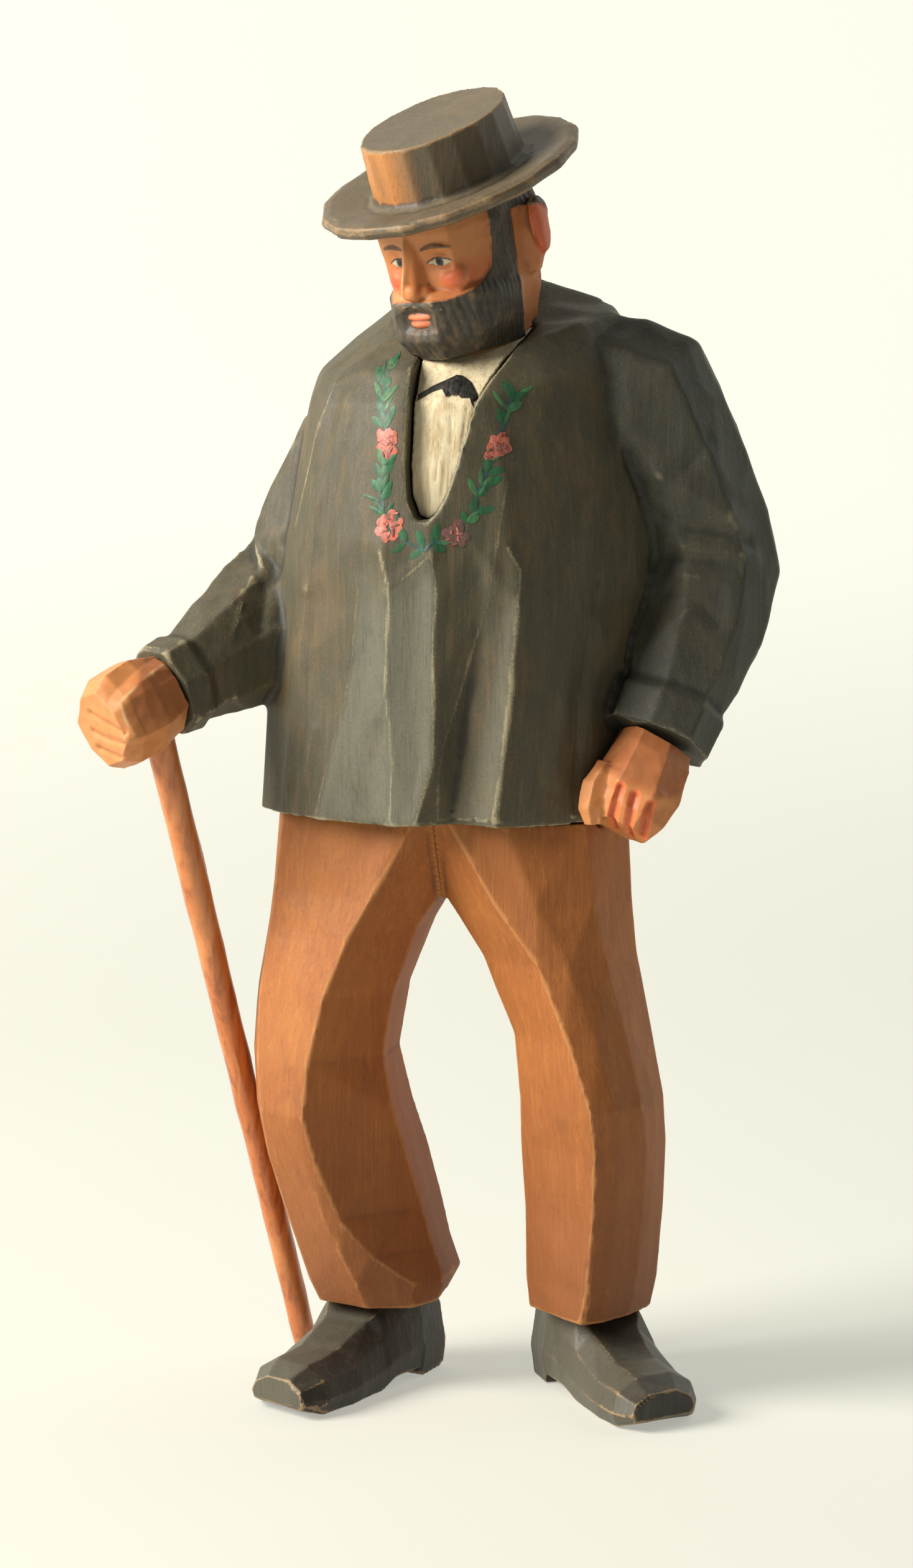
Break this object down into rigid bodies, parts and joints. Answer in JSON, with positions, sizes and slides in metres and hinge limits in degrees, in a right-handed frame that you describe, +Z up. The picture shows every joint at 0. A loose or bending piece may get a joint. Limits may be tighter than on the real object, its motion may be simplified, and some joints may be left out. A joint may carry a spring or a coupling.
{
  "type": "carved wooden figurine",
  "caption": "Whittled and painted wooden figure of a standing bearded countryman in hat, embroidered smock and trousers, leaning on a walking stick.",
  "frame": {"origin": "centre of the figure's footprint box on the floor, under the soles", "axes": "+Z up, the figure's chest faces -Y, its left hand is towards +X"},
  "size_m": [0.1136, 0.0594, 0.2224],
  "materials": {
    "hat": "stained and painted grey-brown, rubbed back to the wood on the edges, satin",
    "skin": "orange-tan flesh stain over bare wood, satin",
    "shirt": "cream paint rubbed thin over the grain, matt",
    "smock": "thin blue-black and grey-green paint, the grain showing through, satin",
    "trousers": "orange-brown stain, satin",
    "shoes": "black paint rubbed back to the wood on the edges, satin",
    "stick": "orange-brown stain under a glossy varnish"
  },
  "bodies": {
    "root": {"hat": "hat", "head": "skin", "shirt_front": "shirt", "smock": "smock", "sleeve_left": "smock", "sleeve_right": "smock", "hand_left": "skin", "hand_right": "skin", "trouser_leg_left": "trousers", "trouser_leg_right": "trousers", "shoe_left": "shoes", "shoe_right": "shoes", "walking_stick": "stick"}
  },
  "joints": []
}
